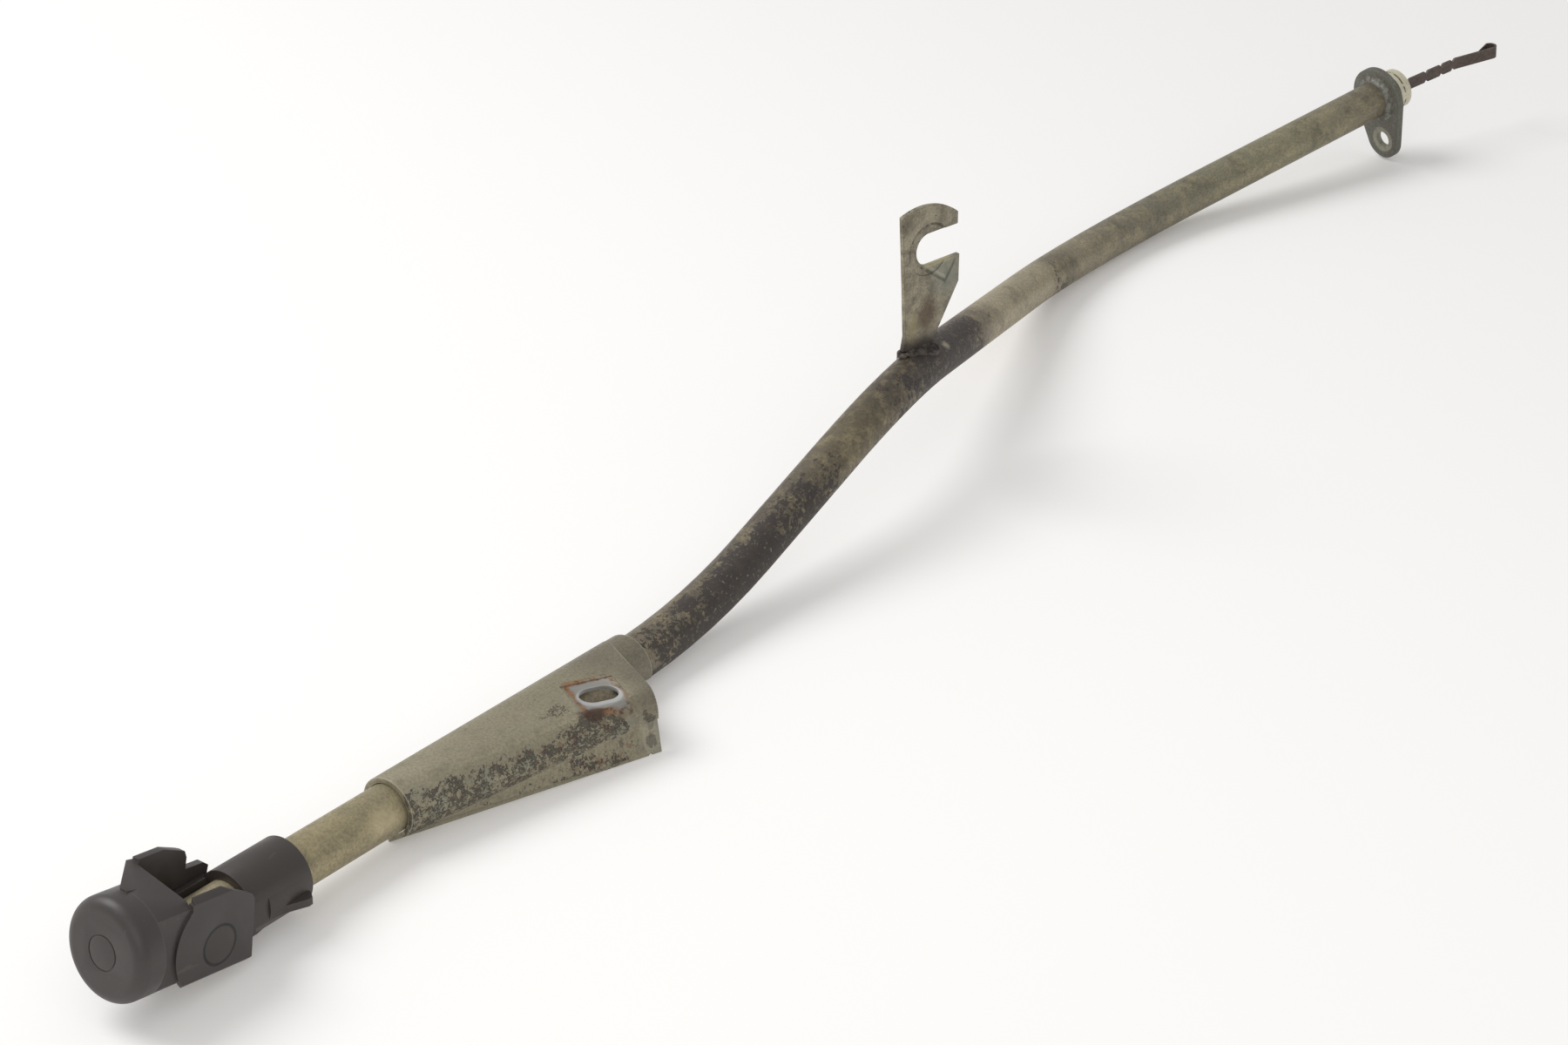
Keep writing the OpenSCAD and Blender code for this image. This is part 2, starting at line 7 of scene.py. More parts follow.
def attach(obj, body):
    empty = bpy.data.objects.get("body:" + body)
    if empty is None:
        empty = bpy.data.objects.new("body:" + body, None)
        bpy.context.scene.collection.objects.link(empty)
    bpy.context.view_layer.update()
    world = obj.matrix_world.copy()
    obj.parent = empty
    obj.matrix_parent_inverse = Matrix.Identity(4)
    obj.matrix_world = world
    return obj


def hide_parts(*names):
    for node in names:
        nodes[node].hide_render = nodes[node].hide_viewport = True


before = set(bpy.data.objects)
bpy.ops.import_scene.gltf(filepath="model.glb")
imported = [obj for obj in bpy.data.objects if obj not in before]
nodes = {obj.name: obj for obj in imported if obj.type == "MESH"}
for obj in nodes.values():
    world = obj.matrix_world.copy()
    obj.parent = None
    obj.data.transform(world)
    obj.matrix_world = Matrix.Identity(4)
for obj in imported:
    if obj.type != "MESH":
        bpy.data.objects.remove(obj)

scene = bpy.context.scene
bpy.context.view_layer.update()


# The camera

def turned(angle, axis):
    return Matrix.Rotation(radians(angle), 4, axis)


def aim_camera(place, azimuth, drop, twist, lens):
    """Looks along an azimuth and down by drop, twisted about the line of sight, all in degrees."""
    data = bpy.data.cameras.new("view")
    data.lens = lens
    data.sensor_width = 36
    data.clip_start = 0.01
    data.clip_end = 50
    camera = bpy.data.objects.new("view", data)
    scene.collection.objects.link(camera)
    camera.matrix_world = (Matrix.Translation(place) @ turned(azimuth - 90, "Z")
                           @ turned(90 - drop, "X") @ turned(twist, "Z"))
    scene.camera = camera


aim_camera(place=(-0.90521, -0.58170, 0.56105), azimuth=35.564, drop=28.81, twist=0.08, lens=75.52)


# Places down the tube, in millimetres and degrees, with the names and values of the part's source

straight_1, straight_2, straight_3, straight_4 = 187, 55.6, 113, 105
bend_r_1, bend_r_2, bend_r_3 = 238, 148, 220
bend_a_1, bend_a_2, bend_a_3 = 18.3, 30.05, 36.7
roll_1, roll_2, roll_3, end_roll = -8.5, -144.7, -146.8, -58.4
rest_turn = (-0.195, 1.907, -1.476)
rest_shift = (-388.03, -6.18, 14.85)
lever_tilt = 9
hook_bend_a, hook_roll, hook_turn, hook_rake = 23.5, 154.6, -23.9, 4.8
ear_lean = -9


def roll(angle):
    return turned(angle, "X")


def along(length):
    return Matrix.Translation((length, 0, 0))


def past_bend(radius, angle):
    return Matrix.Translation((0, 0, radius)) @ turned(-angle, "Y") @ Matrix.Translation((0, 0, -radius))


pivot = (Matrix.Translation(rest_shift) @ turned(rest_turn[2], "Z")
         @ turned(rest_turn[1], "Y") @ turned(rest_turn[0], "X"))
lever = pivot @ turned(lever_tilt, "Y")
second_straight = pivot @ along(straight_1) @ roll(roll_1) @ past_bend(bend_r_1, bend_a_1)
second_bend = second_straight @ along(straight_2) @ roll(roll_2)
third_straight = second_bend @ past_bend(bend_r_2, bend_a_2)
last_straight = third_straight @ along(straight_3) @ roll(roll_3) @ past_bend(bend_r_3, bend_a_3)
flange = last_straight @ along(straight_4) @ roll(end_roll)
ear = flange @ roll(ear_lean)
hook = (second_bend @ past_bend(bend_r_2, hook_bend_a) @ roll(hook_roll)
        @ turned(-hook_rake, "Y") @ turned(hook_turn, "Z"))
table_frame = Matrix.Identity(4)

# Places on the pieces, in each piece's own frame: the print is the washer's, beside the shelf's slot
bracket_x = 81.5
print_x, print_y, slot_turn = 158.5, -16.2, -27
hook_slot_x, hook_slot_z = 3.4, 46.6
bolt_offset = 19.5
pin_groove_r = 6.02


# Material nodes

def linear(rgb):
    """A colour picked on a screen, 0 to 255, as the shader's linear values."""
    value = []
    for c in rgb:
        c = c / 255
        value.append(c / 12.92 if c <= 0.04045 else ((c + 0.055) / 1.055) ** 2.4)
    return (*value, 1)


class Finish:
    """A node material built up step by step, in millimetres of one of the frames above."""

    def __init__(self, name, at=table_frame):
        self.material = bpy.data.materials.new(name)
        self.material.use_nodes = True
        self.tree = self.material.node_tree
        self.shader = self.tree.nodes["Principled BSDF"]
        self.coordinates = self.tree.nodes.new("ShaderNodeTexCoord")
        self.place = self.seen_from(at)

    def seen_from(self, at):
        """Places in a frame's own millimetres, from the object's metres."""
        back = at.inverted()
        mapping = self.node("ShaderNodeMapping", vector_type="POINT")
        self.feed(mapping.inputs["Vector"], self.coordinates.outputs["Object"])
        mapping.inputs["Location"].default_value = back.to_translation()
        mapping.inputs["Rotation"].default_value = back.to_euler("XYZ")
        mapping.inputs["Scale"].default_value = (1000, 1000, 1000)
        return mapping.outputs["Vector"]

    def node(self, kind, **settings):
        made = self.tree.nodes.new(kind)
        for key, value in settings.items():
            setattr(made, key, value)
        return made

    def feed(self, socket, value):
        """Links another node's output, or sets a number or a colour."""
        if hasattr(value, "is_linked"):
            self.tree.links.new(value, socket)
        else:
            socket.default_value = value

    def shifted(self, by):
        made = self.node("ShaderNodeVectorMath", operation="ADD")
        self.feed(made.inputs[0], self.place)
        made.inputs[1].default_value = by
        return made.outputs["Vector"]

    def stretched(self, by, turn, place=None):
        mapping = self.node("ShaderNodeMapping", vector_type="POINT")
        self.feed(mapping.inputs["Vector"], place or self.place)
        mapping.inputs["Rotation"].default_value = (0, 0, radians(turn))
        mapping.inputs["Scale"].default_value = by
        return mapping.outputs["Vector"]

    def noise(self, size, detail, rough, place=None, distortion=0):
        """Soft clouds of a size in millimetres."""
        made = self.node("ShaderNodeTexNoise")
        self.feed(made.inputs["Vector"], place or self.place)
        made.inputs["Scale"].default_value = 1 / size
        made.inputs["Detail"].default_value = detail
        made.inputs["Roughness"].default_value = rough
        made.inputs["Distortion"].default_value = distortion
        return made.outputs["Fac"]

    def ragged(self, size, amount):
        """A wander either side of 0, that roughens a line or an outline."""
        return self.product(self.less(self.noise(size, 4, 0.7), 0.5), amount)

    def math(self, operation, a, b=0.0):
        made = self.node("ShaderNodeMath", operation=operation)
        self.feed(made.inputs[0], a)
        self.feed(made.inputs[1], b)
        return made.outputs[0]

    def plus(self, value, *others):
        for other in others:
            value = self.math("ADD", value, other)
        return value

    def less(self, value, other):
        return self.math("SUBTRACT", value, other)

    def product(self, value, *others):
        for other in others:
            value = self.math("MULTIPLY", value, other)
        return value

    def higher(self, a, b):
        return self.math("MAXIMUM", a, b)

    def off(self, value, middle=0):
        """How far a value lies from the middle, either way."""
        return self.math("ABSOLUTE", self.less(value, middle) if middle else value)

    def reach(self, a, b):
        """How far a place lies from the origin, from its two distances at right angles."""
        return self.math("SQRT", self.plus(self.product(a, a), self.product(b, b)))

    def axis(self, name, place=None):
        made = self.node("ShaderNodeSeparateXYZ")
        self.feed(made.inputs[0], place or self.place)
        return made.outputs[name]

    def facing(self, name):
        """The part of the surface normal along an axis of the table."""
        return self.axis(name, self.coordinates.outputs["Normal"])

    def fade(self, value, low, high, out_low=0.0, out_high=1.0, kind="SMOOTHSTEP"):
        made = self.node("ShaderNodeMapRange", interpolation_type=kind)
        for key, fed in (("Value", value), ("From Min", low), ("From Max", high),
                         ("To Min", out_low), ("To Max", out_high)):
            self.feed(made.inputs[key], fed)
        return made.outputs["Result"]

    def between(self, value, start, full, still_full, end):
        """0 at start, 1 from full to still_full, and 0 again at end."""
        return self.product(self.fade(value, start, full), self.fade(value, end, still_full))

    def near(self, centre, size, soft, outline, turn=0):
        """1 about a place, falling to 0 at the ellipsoid of that size; outline is a wander of its edge."""
        shift = self.node("ShaderNodeVectorMath", operation="SUBTRACT")
        self.feed(shift.inputs[0], self.place)
        shift.inputs[1].default_value = tuple(centre)
        mapping = self.node("ShaderNodeMapping", vector_type="TEXTURE")
        self.feed(mapping.inputs["Vector"], shift.outputs["Vector"])
        mapping.inputs["Rotation"].default_value = (0, 0, radians(turn))
        mapping.inputs["Scale"].default_value = size
        length = self.node("ShaderNodeVectorMath", operation="LENGTH")
        self.feed(length.inputs[0], mapping.outputs["Vector"])
        return self.fade(self.plus(length.outputs["Value"], outline), 1 - soft, 1, 1.0, 0.0)

    def ramp(self, value, stops):
        made = self.node("ShaderNodeValToRGB")
        self.feed(made.inputs["Fac"], value)
        points = made.color_ramp.elements
        while len(points) < len(stops):
            points.new(0.5)
        for point, (at, tone) in zip(points, stops):
            point.position = at
            point.color = linear(tone) if isinstance(tone, tuple) else (tone, tone, tone, 1)
        return made.outputs["Color"]

    def mix(self, share, a, b):
        """Sockets 6 and 7 of a mix of colours take the two colours, and socket 2 gives the result."""
        made = self.node("ShaderNodeMix", data_type="RGBA", blend_type="MIX")
        self.feed(made.inputs["Factor"], share)
        for socket, fed in ((made.inputs[6], a), (made.inputs[7], b)):
            self.feed(socket, linear(fed) if isinstance(fed, tuple) else fed)
        return made.outputs[2]

    def laid(self, colour, tone, cover, strength=1):
        """The colour with a tone laid over it where cover is above 0."""
        return self.mix(self.product(cover, strength) if strength != 1 else cover, colour, tone)

    def mottled(self, colour, tone, pattern, low, high, most=1):
        """The colour with a tone laid over the pattern's high places."""
        return self.laid(colour, tone, self.fade(pattern, low, high, 0.0, most))

    def edges(self, width):
        """1 on corners, 0 on flats."""
        bevel = self.node("ShaderNodeBevel", samples=4)
        bevel.inputs["Radius"].default_value = width / 1000
        plain = self.node("ShaderNodeNewGeometry")
        dot = self.node("ShaderNodeVectorMath", operation="DOT_PRODUCT")
        self.feed(dot.inputs[0], bevel.outputs["Normal"])
        self.feed(dot.inputs[1], plain.outputs["Normal"])
        return self.fade(dot.outputs["Value"], 0.995, 0.85)

    def finish(self, colour, rough, metal, bump=None, height=0.0):
        """Feeds the shader; height is how far the bump stands out, in millimetres."""
        self.feed(self.shader.inputs["Base Color"], linear(colour) if isinstance(colour, tuple) else colour)
        self.feed(self.shader.inputs["Roughness"], rough)
        self.feed(self.shader.inputs["Metallic"], metal)
        if bump is not None:
            made = self.node("ShaderNodeBump")
            made.inputs["Strength"].default_value = 1
            made.inputs["Distance"].default_value = height / 1000
            self.feed(made.inputs["Height"], bump)
            self.feed(self.shader.inputs["Normal"], made.outputs["Normal"])
        return self.material


# The finishes of the pieces

def scale_over(f, colour, amount, flake, tone=(44, 38, 36), depth=0.86):
    """Dark scale that comes off in flakes; amount, 0 to 1, says how much of the surface it covers."""
    flakes = f.noise(flake, 6, 0.72, distortion=0.4)
    patches = f.noise(flake * 4, 3, 0.6)
    crumbs = f.noise(flake * 0.3, 3, 0.7)
    cover = f.plus(f.product(flakes, 0.5), f.product(patches, 0.3), f.product(crumbs, 0.2))
    limit = f.less(0.70, f.product(amount, 0.32))
    scale = f.fade(f.less(cover, limit), -0.012, 0.016)
    return f.laid(colour, tone, scale, depth), scale


def spigot_tone(f, end, fine):
    """The bare spigot's pale zinc, with dark dashes round it; end is the distance past the flange."""
    pale, yellowed, dulled, dark = (226, 222, 206), (200, 192, 158), (150, 146, 128), (46, 42, 40)
    tone = f.mix(f.noise(5, 4, 0.6), pale, yellowed)
    tone = f.mottled(tone, dulled, fine, 0.4, 0.7, 0.25)
    dash = f.product(f.fade(f.off(end, 9.6), 0.5, 0.25), f.fade(f.noise(2.6, 2, 0.6), 0.42, 0.5))
    return f.laid(tone, dark, dash, 0.85)


def tube_finish():
    """Yellow zinc dulled by heat, its tone and scale set by how far down the tube a place is, the scale
    laid thicker as painted shade underneath and on the side away from the window, with a pale painted
    highlight short of the bracket.
    """
    straw, moss, grime, chalk = (202, 186, 144), (76, 74, 62), (58, 54, 46), (150, 144, 124)
    soot, rust_brown, painted_highlight_straw, bare = (52, 45, 43), (112, 68, 44), (220, 204, 164), (168, 158, 134)
    f = Finish("dulled yellow zinc")
    # 0 at the cap's end of the tube and 1 at the flange's
    run = f.fade(f.plus(f.axis("X"), f.ragged(45, 50)), -400, 400, kind="LINEAR")
    colour = f.ramp(run, [
        (0.00, (180, 170, 140)), (0.07, (168, 156, 124)), (0.14, (150, 142, 116)),
        (0.25, (140, 131, 112)), (0.30, (110, 102, 90)), (0.36, (100, 92, 83)),
        (0.415, (118, 109, 89)), (0.46, (92, 84, 75)), (0.50, (74, 66, 61)),
        (0.54, (92, 80, 68)), (0.575, (176, 164, 138)), (0.655, (168, 157, 132)),
        (0.68, (124, 116, 96)), (0.70, (150, 141, 120)), (0.76, (132, 127, 110)),
        (0.86, (150, 145, 120)), (0.92, (136, 128, 110)), (1.00, (122, 117, 102)),
    ])
    colour = f.mottled(colour, straw, f.noise(6, 5, 0.7), 0.44, 0.68, 0.30)
    colour = f.mottled(colour, moss, f.noise(13, 4, 0.7), 0.5, 0.7, 0.40)
    fine = f.noise(0.9, 4, 0.65)
    colour = f.mottled(colour, grime, fine, 0.35, 0.7, 0.32)
    # painted shade: more dark scale on surfaces that face down
    painted_shade_under = f.fade(f.facing("Z"), 0.1, -0.6, 0.0, 0.16)
    # how much of the tube the dark scale covers there, by how far down the tube a place is
    dark = f.ramp(run, [
        (0.0, 0.0), (0.22, 0.05), (0.265, 0.55), (0.34, 0.80), (0.39, 0.50), (0.42, 0.22), (0.47, 0.60),
        (0.53, 0.72), (0.565, 0.15), (0.64, 0.05), (0.668, 0.42), (0.70, 0.08), (0.96, 0.06), (1.0, 0.12),
    ])
    # painted shade and painted light: more dark scale on the side away from the window, less on the side
    # towards it
    side = f.fade(f.facing("Y"), 0.6, -0.4, 0.45, 1.15)
    colour, scale = scale_over(f, colour, f.plus(f.product(dark, side), painted_shade_under), 2.0, soot)
    fleck = f.product(dark, f.fade(f.noise(1.4, 3, 0.7), 0.60, 0.67))
    colour = f.laid(colour, chalk, fleck, 0.75)
    past_hook = f.axis("X", f.seen_from(hook))
    rust = f.product(f.fade(f.noise(6.5, 5, 0.75), 0.56, 0.68), f.between(past_hook, 4, 14, 20, 46))
    colour = f.laid(colour, rust_brown, rust, 0.6)
    # painted highlight: a pale patch on the first straight, just short of the bracket
    painted_glint = f.near(pivot @ Vector((72, -9, 4)), (10, 8, 8), 0.8, f.ragged(5, 0.9))
    colour = f.laid(colour, painted_highlight_straw, painted_glint, 0.45)
    beside_hook = second_bend @ past_bend(bend_r_2, 29) @ roll(hook_roll) @ Vector((0, -6, 7.5))
    rubbed = f.near(beside_hook, (4, 3.2, 3.2), 0.6, f.ragged(3, 0.8))
    colour = f.laid(colour, bare, rubbed, 0.75)
    end = f.axis("X", f.seen_from(flange))
    colour = f.laid(colour, spigot_tone(f, end, fine), f.fade(end, 2.6, 3.2))
    rough = f.plus(f.fade(fine, 0.3, 0.7, 0.40, 0.56), f.product(scale, 0.12))
    metal = f.less(0.55, f.product(scale, 0.45))
    bump = f.plus(f.product(fine, 0.4), f.product(scale, 0.8))
    return f.finish(colour, rough, metal, bump, 0.10)


def washer_print(f, colour, z):
    """The washer's square print on the shelf with its rusty outline, and the pale ring round the slot."""
    pale_blue, dull, ochre, brown = (158, 160, 164), (138, 132, 116), (146, 96, 52), (74, 54, 44)
    burnt_brown, bare = (66, 44, 34), (200, 202, 202)
    slot = f.stretched((1, 1, 1), -slot_turn, f.shifted((-print_x, -print_y, 0)))
    u, v = f.axis("X", slot), f.axis("Y", slot)
    # u runs along the slot and v across it, and the print is narrower along the slot
    wobble = f.ragged(4, 1.6)
    across = f.product(f.off(f.plus(f.less(u, 1.4), wobble)), 1.22)
    square = f.higher(across, f.off(f.plus(f.less(v, 0.9), wobble)))
    outline = f.product(f.between(square, 7.4, 8.8, 9.2, 11.0), f.fade(z, 4, 7))
    rim = f.product(outline, f.fade(f.noise(3, 4, 0.7), 0.36, 0.6, 0.3, 0.9), f.fade(u, 7, 1, 0.35, 1.0))
    inside = f.product(f.fade(square, 9.2, 8.6), f.fade(z, 5, 8), 0.8)
    colour = f.laid(colour, f.mix(f.noise(7, 4, 0.6), pale_blue, dull), inside)
    colour = f.laid(colour, ochre, rim)
    dark_rim = f.product(outline, f.fade(f.noise(2.2, 4, 0.7), 0.48, 0.6, 0.0, 0.75))
    colour = f.laid(colour, brown, dark_rim)
    hollow = f.near((150.6, -21.8, 9), (6, 3.4, 6), 0.6, f.ragged(3, 0.9), slot_turn)
    colour = f.laid(colour, burnt_brown, hollow, 0.85)
    # the ring keeps one distance from the slot's straight middle and from its round ends
    past_middle = f.higher(f.less(f.off(u, 1.5), 2.0), 0)
    ring = f.product(f.fade(f.reach(past_middle, v), 6.2, 4.9), f.fade(z, 7, 8.5))
    return f.laid(colour, bare, ring, 0.62)


def bracket_finish():
    """Shelf plain, skirt pitted and speckled, rust round the washer's print, painted highlights on the
    edges at both ends.
    """
    shelf, shelf_light, cloud, shade = (144, 137, 116), (166, 158, 134), (118, 112, 96), (88, 82, 72)
    grime, blue_grey, rust_brown, soot = (62, 58, 50), (140, 143, 130), (112, 62, 44), (58, 51, 48)
    chalk, pit_dark, painted_edge_highlight = (182, 172, 136), (48, 40, 38), (200, 194, 172)
    f = Finish("pressed steel", pivot)
    x, y, z = (f.axis(name) for name in "XYZ")
    colour = f.mix(f.noise(22, 4, 0.6), shelf, shelf_light)
    colour = f.mottled(colour, cloud, f.noise(5, 5, 0.7), 0.5, 0.7, 0.4)
    colour = f.mottled(colour, shade, f.plus(x, f.ragged(12, 14)), 158, 178, 0.42)
    fine = f.noise(0.9, 4, 0.65)
    colour = f.mottled(colour, grime, fine, 0.35, 0.7, 0.30)
    # how far below the crease, in millimetres: the crease drifts away from the tube by a quarter
    crease = f.plus(f.product(f.less(x, bracket_x), -0.25), -7.5)
    below = f.plus(f.less(crease, y), f.ragged(9, 6))
    skirt = f.fade(below, -2, 3)
    narrow_end = f.fade(x, 132, 96)
    blue = f.product(skirt, f.fade(f.noise(9, 4, 0.65), 0.46, 0.62, 0.0, 0.75))
    colour = f.laid(colour, blue_grey, blue, 0.7)
    rust = f.product(skirt, f.between(x, 108, 122, 152, 172), f.fade(f.noise(3.4, 5, 0.75), 0.54, 0.60))
    colour = f.laid(colour, rust_brown, rust, 0.85)
    burnt = f.higher(f.near((148, -24, 8), (17, 7, 9), 0.7, f.ragged(6, 0.9), slot_turn),
                     f.near((142, -13, 10), (14, 9, 8), 0.8, f.ragged(6, 0.9)))
    along_crease = f.product(f.between(below, -4, 1.5, 2, 9), f.fade(x, 172, 140, 0.1, 0.46))
    amount = f.plus(along_crease, f.product(skirt, narrow_end, 0.62), f.product(skirt, 0.26),
                    f.product(burnt, 0.56))
    colour, scale = scale_over(f, colour, f.math("MINIMUM", amount, 0.64), 1.5, soot, 0.8)
    crumb = f.product(f.higher(skirt, burnt), f.fade(f.noise(1.5, 4, 0.75), 0.56, 0.66, 0.0, 0.6))
    colour = f.laid(colour, chalk, crumb)
    pits = f.product(skirt, f.fade(x, 146, 158), f.fade(f.noise(4.6, 3, 0.55), 0.62, 0.65))
    colour = f.laid(colour, pit_dark, pits, 0.9)
    colour = washer_print(f, colour, z)
    # painted highlight: pale lines along the edges at both ends of the saddle
    ends = f.higher(f.fade(x, 92, 84), f.fade(x, 178, 184))
    colour = f.laid(colour, painted_edge_highlight, f.product(f.edges(0.7), f.fade(ends, 0, 1, 0.25, 0.9)))
    rough = f.plus(f.fade(fine, 0.3, 0.7, 0.44, 0.60), f.product(scale, 0.15))
    metal = f.less(0.4, f.product(scale, 0.3))
    bump = f.less(f.plus(f.product(fine, 0.4), f.product(scale, 0.9)), f.product(pits, 1.4))
    return f.finish(colour, rough, metal, bump, 0.14)


def hook_finish():
    """Mottled steel plate, burnt at the foot, with the stud's washer marks round the mouth."""
    dull, light, grime, blue_grey = (116, 109, 92), (168, 160, 138), (70, 64, 54), (136, 140, 128)
    stain_brown, yellow, burnt, ink = (82, 62, 44), (160, 148, 108), (56, 48, 44), (58, 50, 44)
    painted_trough_shade, painted_crest_highlight, lip_light, rim_dark = (70, 66, 56), (176, 176, 158), (186, 176, 140), (78, 71, 58)
    f = Finish("hook steel", hook)
    x, z = f.axis("X"), f.axis("Z")
    colour = f.mix(f.fade(f.noise(7, 5, 0.7), 0.35, 0.65), dull, light)
    fine = f.noise(0.8, 4, 0.65)
    colour = f.mottled(colour, grime, fine, 0.35, 0.7, 0.34)
    colour = f.laid(colour, blue_grey, f.near((12, 0, 35), (10, 30, 12), 0.7, f.ragged(5, 0.7)), 0.55)
    colour = f.laid(colour, stain_brown, f.near((3, 0, 21), (8, 30, 10), 0.8, f.ragged(5, 0.9)), 0.75)
    colour = f.laid(colour, yellow, f.near((-4, 0, 18), (3.4, 30, 10), 0.7, f.ragged(4, 0.8)), 0.5)
    colour = f.laid(colour, burnt, f.fade(f.plus(z, f.ragged(6, 5)), 17, 11), 0.85)
    # the line that the stud's washer left round the mouth
    from_mouth = f.reach(f.less(x, hook_slot_x), f.less(z, hook_slot_z))
    off_line = f.off(f.plus(from_mouth, f.ragged(5, 1.0)), 9.4)
    line = f.product(f.fade(off_line, 0.75, 0.2), f.fade(f.noise(2.4, 3, 0.7), 0.34, 0.55),
                     f.fade(z, 45, 49, 0.15, 1.0))
    colour = f.laid(colour, ink, line, 0.75)
    colour, scale = scale_over(f, colour, f.plus(0.12, f.fade(z, 50, 62, 0.0, 0.25)), 2.2)
    # the ridge that the stud's washer pressed into the lower prong, a V: how far above each arm's line
    above_left = f.plus(f.less(z, 42.1), f.product(f.plus(x, 2.1), 0.737))
    above_right = f.less(f.less(z, 32), f.product(f.less(x, 11.5), 1.42))
    left_arm, right_arm = f.between(x, -1.6, 0, 11, 12.4), f.between(x, 10.8, 11.6, 15.5, 17)
    step = f.higher(f.product(f.fade(f.off(above_left), 0.9, 0.2), left_arm),
                    f.product(f.fade(f.off(above_right), 1.3, 0.3), right_arm))
    step = f.product(step, f.fade(f.noise(3, 3, 0.6), 0.3, 0.5, 0.45, 1.0))
    crest_highlight_mask = f.product(f.fade(f.off(above_left, 1.7), 1.0, 0.2), left_arm)
    # painted shade along the ridge's step and a painted highlight along its crest; the step also shapes the
    # bump below
    colour = f.laid(colour, painted_trough_shade, step, 0.62)
    colour = f.laid(colour, painted_crest_highlight, crest_highlight_mask, 0.5)
    lip = f.product(f.fade(f.off(z, 40.4), 1.3, 0.4), f.between(x, 0, 3, 13, 17))
    colour = f.laid(colour, lip_light, lip, 0.6)
    colour = f.laid(colour, rim_dark, f.edges(0.5), 0.75)
    marks = f.higher(line, f.product(step, 2.0))
    bump = f.less(f.plus(f.product(fine, 0.4), f.product(scale, 0.6)), f.product(marks, 0.9))
    return f.finish(colour, f.fade(fine, 0.3, 0.7, 0.42, 0.58), 0.4, bump, 0.12)


def flange_finish():
    """Dull grey plate, with a pale ring where the bolt's head sat."""
    dark_grey, light_grey, blue_grey, grime = (94, 91, 82), (122, 121, 110), (132, 138, 130), (56, 52, 46)
    ring_pale, edge_grey = (176, 174, 154), (142, 146, 136)
    f = Finish("dull grey steel", ear)
    y, z = f.axis("Y"), f.axis("Z")
    colour = f.mix(f.noise(8, 5, 0.65), dark_grey, light_grey)
    colour = f.mottled(colour, blue_grey, f.noise(2.2, 4, 0.7), 0.52, 0.66, 0.6)
    fine = f.noise(0.8, 4, 0.65)
    colour = f.mottled(colour, grime, fine, 0.4, 0.7, 0.35)
    from_bolt = f.reach(f.plus(z, bolt_offset), y)
    ring = f.product(f.fade(from_bolt, 6.0, 5.6), f.fade(f.noise(2, 4, 0.7), 0.3, 0.55, 0.35, 1.0))
    colour = f.laid(colour, ring_pale, ring, 0.55)
    colour = f.laid(colour, edge_grey, f.edges(0.5), 0.35)
    return f.finish(colour, f.fade(fine, 0.3, 0.7, 0.44, 0.6), 0.4, fine, 0.09)


def seam_finish(name, light, dark):
    """Lumpy weld metal, its lumps lighter than its hollows."""
    f = Finish(name)
    lumps = f.noise(2.6, 5, 0.7)
    colour = f.mix(f.fade(lumps, 0.38, 0.62), dark, light)
    bump = f.plus(lumps, f.product(f.noise(0.7, 3, 0.6), 0.3))
    return f.finish(colour, f.fade(lumps, 0.3, 0.7, 0.55, 0.42), 0.35, bump, 0.35)


def shaded(tone, by):
    return tuple(int(c * by) for c in tone)


def plastic_finish(name, tone, at=pivot, worn=0.25):
    """Moulded black with dust and scuffs; where worn, pale edges and painted shade in the groove round the
    pivot pin.
    """
    dust_grey, scuff_grey = (128, 120, 112), (112, 106, 100)
    edge_grey, groove_shade_tone = (118, 111, 104), (18, 16, 15)
    f = Finish(name, at)
    cloud = f.noise(12, 4, 0.6)
    colour = f.mix(cloud, tone, shaded(tone, 1.16))
    colour = f.mottled(colour, dust_grey, f.noise(2.4, 5, 0.78), 0.60, 0.76, 0.20)
    scuff = f.fade(f.noise(1.4, 3, 0.6, f.stretched((0.12, 1, 0.5), 24)), 0.66, 0.74, 0.0, 0.25)
    colour = f.laid(colour, scuff_grey, scuff)
    if worn:
        colour = f.laid(colour, edge_grey, f.edges(0.6), worn)
        # painted shade: a dark line in the groove round the pivot pin
        from_pin = f.reach(f.axis("X"), f.axis("Z"))
        groove = f.product(f.fade(f.off(from_pin, pin_groove_r), 0.62, 0.32),
                           f.fade(f.off(f.axis("Y")), 10.5, 11.5))
        colour = f.laid(colour, groove_shade_tone, groove, 0.92)
    rough = f.plus(f.fade(cloud, 0.3, 0.7, 0.40, 0.52), f.product(scuff, 0.3))
    return f.finish(colour, rough, 0.0, f.noise(0.35, 3, 0.6), 0.02)


def steel_finish(name, tone, gloss, metal):
    """Plain steel with clouds, fine grain and paler edges."""
    edge_grey = (126, 122, 112)
    f = Finish(name)
    fine = f.noise(1.2, 4, 0.65)
    colour = f.mottled(tone, shaded(tone, 1.25), f.noise(7, 4, 0.65), 0.35, 0.65, 0.5)
    colour = f.mottled(colour, shaded(tone, 0.6), fine, 0.35, 0.7, 0.4)
    colour = f.laid(colour, edge_grey, f.edges(0.3), 0.4)
    return f.finish(colour, f.fade(fine, 0.3, 0.7, gloss, gloss + 0.18), metal, fine, 0.05)


# The part's pieces

merge_reach = 0.000002  # metres
flat_angle = 0.5  # degrees, up to which triangles count as one flat face
cut_step = 6  # millimetres


def select_only(piece):
    bpy.ops.object.select_all(action="DESELECT")
    piece.select_set(True)
    bpy.context.view_layer.objects.active = piece


def settle(piece, name, body, finish):
    """Names a finished piece, gives it its finish and fixes it to its body."""
    piece.name = piece.data.name = name
    piece.data.materials.clear()
    piece.data.materials.append(finish)
    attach(piece, body)


